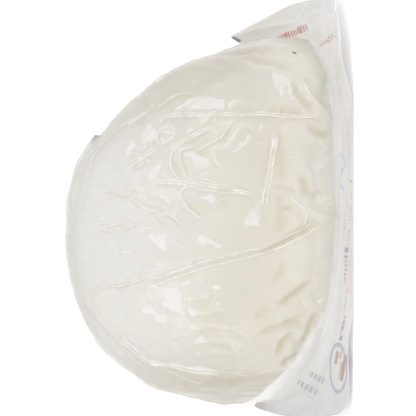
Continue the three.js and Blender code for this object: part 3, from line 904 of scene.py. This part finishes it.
class Value:
    """An output of a node. Reckoning with it adds further nodes."""

    def __init__(self, nodes, socket):
        self.nodes, self.socket = nodes, socket

    def reckon(self, operation, *others, output=0):
        """Adds a maths node, of the kind for vectors where this value isn't a plain number."""
        kind = "Math" if self.socket.type == "VALUE" else "VectorMath"
        return self.nodes.add(kind, dict(enumerate((self, *others))), output, operation=operation)

    __add__ = partialmethod(reckon, "ADD")
    __sub__ = partialmethod(reckon, "SUBTRACT")
    __mul__ = partialmethod(reckon, "MULTIPLY")
    __truediv__ = partialmethod(reckon, "DIVIDE")
    __abs__ = partialmethod(reckon, "ABSOLUTE")
    smaller = partialmethod(reckon, "MINIMUM")
    larger = partialmethod(reckon, "MAXIMUM")

    def bell(self):
        """One where this value is 0, and almost nothing where it is beyond 2."""
        return (self * self * -1.0).reckon("EXPONENT")

    def spread(self, from_low, from_high, low=0.0, high=1.0, **settings):
        """Goes from low to high, and no further, while this value goes from from_low to from_high."""
        ends = {"Value": self, "From Min": from_low, "From Max": from_high, "To Min": low, "To Max": high}
        return self.nodes.add("MapRange", ends, **settings)

    def split(self):
        return [Value(self.nodes, socket) for socket in self.nodes.outputs("SeparateXYZ", {0: self})]


class Nodes:
    """The nodes of a new material, or of the world."""

    def __init__(self, owner):
        owner.use_nodes = True
        self.owner, self.tree = owner, owner.node_tree
        self.tree.nodes.clear()

    def outputs(self, kind, inputs=None, **settings):
        """Adds a node and gives its outputs."""
        node = self.tree.nodes.new("ShaderNode" + kind)
        for key, value in settings.items():
            setattr(node, key, value)
        for key, value in (inputs or {}).items():
            if isinstance(value, Value):
                self.tree.links.new(value.socket, node.inputs[key])
            else:
                node.inputs[key].default_value = value
        return node.outputs

    def add(self, kind, inputs=None, output=0, **settings):
        """Adds a node and gives one of its outputs as a value."""
        return Value(self, self.outputs(kind, inputs, **settings)[output])

    def place(self):
        """The shaded point in metres, from the pack's middle."""
        return self.add("TexCoord", output="Object")

    def attribute(self, name, output="Fac"):
        return self.add("Attribute", output=output, attribute_name=name)

    def noise(self, place, scale, detail, output=0):
        return self.add("TexNoise", {"Vector": place, "Scale": scale, "Detail": detail}, output)

    def wander(self, place, scale, detail, amount):
        """A vector that changes unevenly round zero."""
        return (self.noise(place, scale, detail, 1) - (0.5,) * 3) * ((amount,) * 3)

    def layers(self, colour, *over):
        """A colour with others over it, each given by its share and its own colour."""
        for share, ink in over:
            colour = self.add("Mix", {0: share, 6: colour, 7: ink}, 2, data_type="RGBA")
        return colour

    def bump(self, height, strength=1.0, distance=MM):
        return self.add("Bump", {"Height": height, "Strength": strength, "Distance": distance})

    def principled(self, colour, roughness, inputs):
        return self.add("BsdfPrincipled", {"Base Color": colour, "Roughness": roughness, **inputs})

    def glossy(self, colour, roughness, normal):
        return self.add("BsdfGlossy", {"Color": colour, "Roughness": roughness, "Normal": normal})

    def mix(self, share, first, second):
        return self.add("MixShader", {0: share, 1: first, 2: second})

    def finish(self, shader):
        kind = "OutputWorld" if isinstance(self.owner, bpy.types.World) else "OutputMaterial"
        self.outputs(kind, {"Surface": shader})
        return self.owner


def new_material(name):
    return Nodes(bpy.data.materials.new(name))


# ---------- Marks and print ----------


def seen_place(n, place):
    """x and seen height in mm of a shaded point, a little unsteady as on crumpled film."""
    point = place * ((1 / MM,) * 3) + n.wander(place, 160.0, 1.0, 0.8) + tuple(PACK_MIDDLE)
    level = point.reckon("DOT_PRODUCT", tuple(SEEN_UP), output=1)
    return point.split()[0], level - NEAR_EDGE * SEEN_UP[1]


def turned(seen, middle, slope):
    """The place in a shape's own directions, along and across, in mm."""
    c, s = math.cos(math.radians(slope)), math.sin(math.radians(slope))
    dx, dv = seen[0] - middle[0], seen[1] - middle[1]
    return dx * c + dv * s, dv * c - dx * s


def wave(value, waves):
    """A sine with so many waves to a millimetre."""
    return (value * (2 * math.pi * waves)).reckon("SINE")


def bar_mask(seen, middle, length, width, slope, broken=0, soft=0.12):
    """One inside a soft-edged bar, or inside the short bars that it is broken into."""
    place = turned(seen, middle, slope)
    along, across = (
        abs(off).spread(size / 2 + soft, size / 2 - soft) for off, size in zip(place, (length, width))
    )
    if broken:
        return along * across * wave(place[0], broken).spread(-0.6, 0.1, 0.15, 1.0)
    return along * across


def ring_mask(seen, middle, half_width, half_height, thickness):
    """One on the line of an oval ring."""
    a, b = (seen[0] - middle[0]) / half_width, (seen[1] - middle[1]) / half_height
    off = abs((a * a + b * b).reckon("SQRT") - 1.0)
    band = thickness / (half_width + half_height)
    return off.spread(band * 1.3, band * 0.7)


def inked(seen, marks, mask=bar_mask):
    """The share and the ink of each mark: marks hold ink, strength and what the mask asks for."""
    return [(mask(seen, *shape) * strength, ink) for ink, strength, *shape in marks]


SLATE, NAVY, BLUE = (0.38, 0.42, 0.56, 1), (0.10, 0.16, 0.30, 1), (0.42, 0.62, 0.82, 1)
RED, PINK, DARK_RED = (0.62, 0.16, 0.16, 1), (0.82, 0.42, 0.44, 1), (0.42, 0.12, 0.11, 1)
GREY, SAGE = (0.30, 0.32, 0.36, 1), (0.42, 0.46, 0.38, 1)

# Plain bars printed on the lid: ink, strength, middle as (x, seen height), length, width, slope in
# degrees, and how many bars to a millimetre it is broken into (0 for a solid bar).
PRINTED_BARS = [
    (SLATE, 0.65, (-47.0, 12.4), 6.2, 1.6, 62, 0.75),
    (SLATE, 0.65, (-44.0, 10.0), 4.8, 1.6, 62, 0.85),
    (SLATE, 0.5, (-49.4, 11.9), 2.2, 0.5, 58, 1.6),
    (DARK_RED, 0.7, (-38.2, 4.5), 3.6, 0.7, -14, 0),
    (DARK_RED, 0.8, (-41.0, 2.7), 7.6, 0.8, -8, 0),
    (SAGE, 0.7, (-41.8, 3.6), 5.0, 0.6, -8, 0),
    (NAVY, 0.5, (-37.0, 3.4), 3.0, 0.35, -12, 0),
    (NAVY, 0.8, (-33.2, 3.5), 3.4, 0.45, -14, 0.5),
    (NAVY, 0.5, (-30.3, 3.2), 6.0, 0.22, -14, 0),
    (GREY, 0.45, (-24.0, 2.2), 6.0, 0.2, -8, 0),
    (PINK, 0.35, (-14.0, 1.0), 12.0, 0.25, -4, 0),
    (NAVY, 0.7, (-28.6, 2.6), 4.4, 0.4, -12, 0.6),
    (GREY, 0.5, (-21.5, 2.0), 5.0, 0.3, -6, 0.9),
    (PINK, 0.5, (-19.6, 1.2), 1.4, 0.5, 60, 0),
    (GREY, 0.6, (-13.9, 2.0), 7.0, 0.5, -4, 0.8),
    (NAVY, 0.75, (-8.6, 1.8), 3.4, 0.8, -5, 0.45),
    (RED, 0.5, (-4.4, 1.3), 4.4, 0.45, -5, 0.8),
    (RED, 0.45, (2.3, 0.8), 4.2, 0.4, -8, 0.9),
    (GREY, 0.4, (-1.0, 2.3), 3.0, 0.3, 4, 1.1),
    (PINK, 0.5, (7.1, 0.6), 2.0, 0.4, 0, 0),
    (GREY, 0.7, (11.1, 0.6), 0.9, 0.35, 0, 0),
    (PINK, 0.45, (6.7, 4.1), 2.2, 0.6, 0, 0),
    (BLUE, 0.75, (10.2, 3.2), 3.4, 0.6, 20, 0),
    (BLUE, 0.75, (12.9, 3.3), 2.6, 0.55, -24, 0),
    (GREY, 0.35, (19.1, 3.4), 2.4, 0.25, 90, 0),
    (RED, 0.8, (53.2, 19.4), 4.0, 0.9, -72, 1.5),
    (RED, 0.85, (54.0, 16.0), 4.8, 1.7, -72, 1.5),
    (RED, 0.75, (55.1, 13.3), 2.6, 2.2, -72, 1.5),
    (PINK, 0.8, (50.2, 8.0), 3.2, 1.1, -50, 1.2),
    (RED, 0.55, (51.4, 6.2), 2.6, 1.3, -40, 1.2),
    (NAVY, 0.8, (52.5, 32.4), 2.6, 0.9, 62, 0),
]
# Rings: ink, strength, middle, half width, half height, line thickness.
PRINTED_RINGS = [
    (SLATE, 0.75, (-41.2, 4.1), 6.6, 2.2, 0.8),
    (BLUE, 0.7, (16.4, 3.2), 2.0, 1.0, 0.5),
]
# A thin border: points as (x, seen height).
BORDER = [(-40.6, 6.8), (-29.1, 4.6), (-19.7, 3.3), (-7.6, 3.0), (1.7, 2.2), (12, 1.4), (20.9, 1.1),
          (27.4, 1.7), (33.1, 2.9), (36.9, 3.7)]
# Specks on the film, and the green of the print that shows at the seal: as the bars, with softness.
FILM_SPECKS = [
    ((0.20, 0.17, 0.12, 1), 0.75, (14.4, 8.6), 0.9, 0.3, 40, 0, 0.15),
    ((0.35, 0.30, 0.22, 1), 0.6, (-35.5, 21.3), 0.4, 0.35, 0, 0, 0.15),
]
CHEESE_MARKS = [
    ((0.40, 0.62, 0.50, 1), 0.6, (36.8, 7.0), 9.0, 1.1, 10, 0, 0.6),
    ((0.55, 0.62, 0.46, 1), 0.45, (40.5, 8.8), 6.0, 1.6, 30, 0, 0.9),
]
# One round dark speck: its middle in mm, its radius in metres, its colour.
SPECK_PLACE, SPECK_RADIUS, SPECK_INK = (47.71, -21.03, 9.16), 0.0007, (0.03, 0.022, 0.012, 1)


def border_bars():
    """The border as thin bars from point to point."""
    for (ax, ah), (bx, bh) in zip(BORDER, BORDER[1:]):
        slope = math.degrees(math.atan2(bh - ah, bx - ax))
        yield BLUE, 0.45, ((ax + bx) / 2, (ah + bh) / 2), math.hypot(bx - ax, bh - ah), 0.28, slope


# ---------- Materials ----------


def cheese_material():
    n = new_material("fresh_mozzarella")
    place = n.place()
    sideways, _, height = place.split()
    cloudy, patchy = n.noise(place, 60.0, 3.0), n.noise(place, 16.0, 2.0)
    low = height.spread(0.054, 0.022)
    # Neutral above and creamy below, mottled pale and yellow. Painted shade darkens the right side and the
    # creases; painted light makes the foot palest, against the shade under the overhanging flank.
    colour = n.layers(
        (0.735, 0.717, 0.672, 1),
        (low, (0.745, 0.702, 0.60, 1)),
        (cloudy.spread(0.35, 0.75, 0.0, 0.5), (0.79, 0.765, 0.69, 1)),
        (patchy.spread(0.45, 0.75, 0.0, 0.4), (0.75, 0.70, 0.57, 1)),
        # Painted shade: darker towards the right side.
        (sideways.spread(0.008, 0.040), (0.645, 0.604, 0.52, 1)),
        # Painted light: palest at the foot, against the shade under the overhanging flank.
        (height.spread(0.024, 0.010, 0.0, 0.9), (0.90, 0.87, 0.785, 1)),
        # Painted shade: yellow-brown in the creases.
        (n.attribute("crease") * low.spread(0, 1, 0.35, 0.8), (0.67, 0.58, 0.38, 1)),
        *inked(seen_place(n, place), CHEESE_MARKS),
    )
    return n.finish(n.principled(colour, 0.5, {
        "Normal": n.bump(cloudy, 0.2, 0.0006), "Specular IOR Level": 0.08,
        "Subsurface Weight": 0.3, "Subsurface Radius": (1.0, 0.8, 0.5), "Subsurface Scale": 0.003,
    }))


CREST, CREST_WIDTH = 0.08, 0.22  # height and half width of a pinched line's crest, mm
SHADE_PLACE, SHADE_WIDTH = 0.55, 0.45  # middle and half width of the shade beside a crest, mm


def crests(n, place):
    """Height of the pinched lines in mm, their shade on one side and the shade between two crests."""
    patchy = n.noise(place, 330.0, 1.0).spread(0.36, 0.6, 0.5, 1.0)
    groups = []
    for number in range(LINE_GROUPS):
        signed, half_gap, strength = n.attribute("line%d" % number, "Vector").split()
        off = abs(signed) - half_gap
        groups.append((
            (off / CREST_WIDTH).bell() * patchy * CREST * strength,
            ((off - SHADE_PLACE) / SHADE_WIDTH).bell() * signed.spread(-0.3, 0.3, 1.0, 0.2) * strength,
            off.spread(-0.02, -0.3) * half_gap.spread(0.1, 0.2) * strength,
        ))
    heights, beside, between = zip(*groups)
    return reduce(Value.__add__, heights), reduce(Value.larger, beside), reduce(Value.larger, between)


def cell_lines(n, place, scale, width, height, spots):
    """Thin crests in mm along the borders of uneven cells, where a noise of scale spots is high."""
    moved = place + n.noise(place, scale * 0.7, 2.0, 1) * ((2.2 / scale,) * 3)
    cells = n.add("TexVoronoi", {"Vector": moved * (1, 1, 0.6), "Scale": scale}, feature="DISTANCE_TO_EDGE")
    crest = (cells * (1 / (scale * MM)) / width).bell() * height
    return crest * n.noise(place, spots, 1.0).spread(0.42, 0.62)


def strand_lines(n, across, along, seed, width):
    """Thin uneven lines that run along the outline, in 0..1."""

    def drawn_out(wide, long, seed):
        return n.noise(n.add("CombineXYZ", {0: across / wide, 1: along / long, 2: seed}), 1.0, 0.0)

    line = ((drawn_out(width, width * 9, seed) - 0.5) / 0.03).bell()
    return line * drawn_out(width * 2, 14.0, seed + 5).spread(0.4, 0.62)


FILM_IOR = 1.55
MOST_MIRROR = 0.22  # the film's strongest reflection outside the lit patches
FINE_HEIGHT, STRAND_HEIGHT = 0.02, 0.05  # of the film's fine grain and its strands, mm
GLINT_SHARE, GLINT_COLOUR = 0.55, (0.58, 0.58, 0.585, 1)


def film_material():
    n = new_material("clear_glossy_film")
    place = n.place()
    sideways, _, up = place.split()
    across, along, marked = n.attribute("strand", "Vector").split()
    rim, flap = marked.smaller(1.0), marked.spread(1.0, 2.0)
    # Pale strands are partly painted highlights on their ridges; dark strands are painted shade in their
    # grooves.
    pale = strand_lines(n, across, along, 3.0, 4.5) * rim
    dark = strand_lines(n, across, along, 11.0, 3.6) * rim
    line_height, beside, between = crests(n, place)
    shade = (beside * 0.6).larger(between * 0.6)
    pinched = (line_height * (0.9 / CREST)).smaller(0.85).larger(pale * 0.5)

    height = line_height + n.noise(place, 700.0, 2.0) * FINE_HEIGHT
    height = height + cell_lines(n, place, 170.0, 0.2, 0.05, 70.0)
    height = height + cell_lines(n, place, 420.0, 0.14, 0.015, 79.0)
    height = height + (pale - dark) * STRAND_HEIGHT
    inside = n.attribute("patch") + n.noise(place, 330.0, 2.0).spread(0.3, 0.7, -0.5, 0.4)
    flat = n.attribute("patch_normal", "Vector") + n.wander(place, 230.0, 2.0, 0.06)
    lit = inside.spread(-0.12, 0.12)
    normal = n.add("Mix", {0: lit, 4: n.bump(height), 5: flat}, 1, data_type="VECTOR").reckon("NORMALIZE")

    # Painted shade darkens what shows through the clear film low at the sides, beside its lines and along its
    # dark strands. The film mirrors little even edge on.
    low = up.spread(0.064, 0.030) * abs(sideways).spread(0.034, 0.050, 0.3, 1.0) * rim
    clear = n.add("BsdfTransparent", {"Color": n.layers(
        (0.985, 0.985, 0.985, 1),
        (low, (0.91, 0.89, 0.86, 1)),
        (shade, (0.91, 0.88, 0.82, 1)),
        (dark * 0.35, (0.84, 0.80, 0.71, 1)),
    )})
    ior = n.add("NewGeometry", output="Backfacing").spread(0.0, 1.0, FILM_IOR, 1 / FILM_IOR)
    mirror = (n.add("Fresnel", {"IOR": ior, "Normal": normal}) * 1.2).smaller(MOST_MIRROR)
    film = n.mix(mirror, clear, n.glossy(WHITE, inside.spread(-0.2, 0.2, 0.07, 0.13), normal))

    # Milky film is cream below, whiter above and where it lies double. Painted shade darkens it at the low
    # sides, beside the lines and on the fold's tip; the white of the pinched lines and pale strands is partly
    # painted highlight.
    milk_and_sheen = n.attribute("haze_and_sheen")
    # Painted shade: darker low at the sides.
    side = abs(sideways).spread(0.034, 0.050) * up.spread(0.060, 0.035)
    off = place.reckon("DISTANCE", tuple(metres(SPECK_PLACE)), output=1)
    specks = [(off.spread(SPECK_RADIUS * 1.4, SPECK_RADIUS * 0.6, 0.0, 0.95), SPECK_INK)]
    specks += inked(seen_place(n, place), FILM_SPECKS)
    whiteness = n.layers(
        (0.755, 0.72, 0.63, 1),
        (up.spread(0.045, 0.062), (0.90, 0.885, 0.85, 1)),
        (side, (0.53, 0.505, 0.45, 1)),
        (milk_and_sheen.spread(CLEAR_HAZE, 0.50), (0.905, 0.90, 0.885, 1)),
        (shade, (0.74, 0.71, 0.64, 1)),
        # Partly painted highlight: the pinched lines and pale strands are white.
        (pinched.spread(0.0, 0.3), (0.92, 0.915, 0.90, 1)),
        # Painted shade: the fold's tip is dark.
        (flap.spread(0.1, 0.8), (0.30, 0.29, 0.28, 1)),
        *specks,
    )
    covered = reduce(Value.larger, [milk_and_sheen, pinched, side * 0.5] + [share for share, _ in specks])
    seen = n.mix(covered, film, n.principled(whiteness, 0.3, {"Normal": normal}))

    # The lit patches reflect their lamp softly too, in uneven streaks.
    streaks = n.noise(place * (1, 1, 0.4), 240.0, 2.0).spread(0.35, 0.55, 0.5, 1.0)
    glint = inside.spread(-0.1, 0.3, 0.0, GLINT_SHARE) * streaks * pinched.spread(0.5, 0.1)
    seen = n.mix(glint, seen, n.glossy(GLINT_COLOUR, 0.29, normal))

    # Light reaches the cheese through the milky parts too, so that they cast no shadow on it.
    shadow, diffuse = (n.add("LightPath", output="Is %s Ray" % ray) for ray in ("Shadow", "Diffuse"))
    return n.finish(n.mix(shadow.larger(diffuse), seen, clear))


LATTICE_STEP, LATTICE_SLOPE, LATTICE_HEIGHT = 0.65, 38, 0.03


def lid_material():
    n = new_material("printed_lid")
    place = n.place()
    seen = seen_place(n, place)
    cloudy = n.noise(place, 70.0, 4.0)
    colour = n.layers(
        (0.79, 0.775, 0.77, 1),
        (cloudy.spread(0.35, 0.65), (0.84, 0.83, 0.825, 1)),
        (seen[0].spread(-30, -46), (0.76, 0.75, 0.75, 1)),
        # Painted light: paler next to the seal, against the shade of the ball.
        (n.attribute("near_seal") * 0.8, (0.95, 0.95, 0.945, 1)),
        # Painted light: paler on the right wing, which is backlit.
        (seen[0].spread(40, 54), (0.95, 0.945, 0.93, 1)),
        *inked(seen, PRINTED_BARS),
        *inked(seen, PRINTED_RINGS, ring_mask),
        *inked(seen, border_bars()),
    )

    # The sealing jaws leave a fine lattice near the flange's edge, at the right and at the left.
    one, other = (wave(turned(seen, (0, 0), s)[0], 1 / LATTICE_STEP) for s in (LATTICE_SLOPE, -LATTICE_SLOPE))
    right = bar_mask(seen, (61.5, 9), 9, 5, 80, soft=1.0)
    left = bar_mask(seen, (-51.5, 6), 7, 4.5, -50, soft=1.0)
    crumple = n.add("TexVoronoi", {"Vector": place * (1, 0.5, 1), "Scale": 210.0})
    height = (one + other) * right.larger(left) * LATTICE_HEIGHT + crumple * 0.14 + cloudy * 0.3
    bump = n.bump(height)
    return n.finish(n.principled(colour, 0.3, {
        "Normal": bump, "Specular IOR Level": 0.5,
        "Coat Weight": 0.5, "Coat Roughness": 0.08, "Coat Normal": bump,
    }))


def floor_material():
    n = new_material("pale_floor")
    place = n.place()
    colour = n.layers((0.93, 0.93, 0.93, 1), (n.noise(place, 3.0, 2.0), (0.95, 0.95, 0.95, 1)))
    far = place.reckon("LENGTH", output=1)
    glow = far.spread(0.15, 0.6, 0.24, 0.32) - far.spread(0.8, 2.5, 0.0, 0.20)
    return n.finish(n.principled(colour, 0.9, {
        "Specular IOR Level": 0.1, "Emission Color": WHITE, "Emission Strength": glow,
    }))


# ---------- Stage ----------

BRIGHT_SIDE = (0.0, -0.45, 0.9)  # the pale tent is brightest in front and above
STUDIO_GLOW = (0.45, 0.80)
HORIZON_GLOW, HORIZON_HEIGHT = 0.80, 0.3  # as bright as the far floor, so that no horizon shows in the film
FLOOR_REACH, FLOOR_DROP = 12000.0, 0.1
LAMP_TARGET = (0, 0, 30)


def stand(name, data, target, back, right, distance):
    """Stands a lamp or the camera a distance away from its target, which it looks at."""
    holder = bpy.data.objects.new(name, data)
    bpy.context.scene.collection.objects.link(holder)
    turn = Matrix((right, back.cross(right), back)).transposed()
    place = Vector(metres(target)) + back * (distance / 1000.0)
    holder.matrix_world = Matrix.Translation(place) @ turn.to_4x4()
    return holder


def add_lamps():
    for name, (azimuth, elevation, size, radiance) in LAMPS.items():
        light = bpy.data.lights.new(name, "AREA")
        light.shape = "RECTANGLE"
        light.size, light.size_y = (side / 1000.0 for side in size)
        light.energy = radiance * math.pi * light.size * light.size_y
        back = Vector(direction(azimuth, elevation))
        right = Vector((0, 0, 1)).cross(back).normalized()
        stand(name, light, LAMP_TARGET, back, right, LAMP_DISTANCE)


def add_world():
    world = bpy.data.worlds.new("studio")
    bpy.context.scene.world = world
    n = Nodes(world)
    way = n.add("TexCoord", output="Generated")
    bright = way.reckon("DOT_PRODUCT", BRIGHT_SIDE, output=1)
    tent = bright.spread(-0.8, 0.7, *STUDIO_GLOW, interpolation_type="SMOOTHSTEP")
    glow = way.split()[2].spread(0.0, HORIZON_HEIGHT, HORIZON_GLOW, tent, interpolation_type="SMOOTHSTEP")
    n.finish(n.add("Background", {"Color": WHITE, "Strength": glow}))


def add_camera():
    camera = bpy.data.cameras.new("view")
    camera.sensor_width = 36.0
    camera.lens = camera.sensor_width * VIEW_DISTANCE / VIEW_WIDTH
    camera.clip_end = 50.0
    (x, height), y = VIEW_MIDDLE, PACK_MIDDLE[1]
    target = (x, y, (height - (y - NEAR_EDGE) * SEEN_UP[1]) / SEEN_UP[2])
    # The picture is turned a quarter: its right is the pack's down.
    back, right = Vector(TO_VIEWER), -Vector(SEEN_UP)
    bpy.context.scene.camera = stand("view", camera, target, back, right, VIEW_DISTANCE)


def add_floor():
    corners = np.array([(-1, -1, 0), (1, -1, 0), (1, 1, 0), (-1, 1, 0)])
    floor = make_mesh("floor", PACK_MIDDLE + corners * FLOOR_REACH, [(0, 1, 2, 3)])
    floor.location.z = -FLOOR_DROP / 1000.0
    floor.data.materials.append(floor_material())


def dress(piece, material, node):
    """Gives a piece its material, ties it to the root body and hides the solid that it stands for."""
    piece.data.materials.append(material)
    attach(piece, "root")
    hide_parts(node)


add_camera()
add_world()
add_lamps()
add_floor()
dress(cheese(), cheese_material(), "wrapped_ball")
dress(clear_film(), film_material(), "wrapped_ball")
dress(lid_film(), lid_material(), "lid_film")

bpy.context.scene.view_settings.view_transform = "Standard"
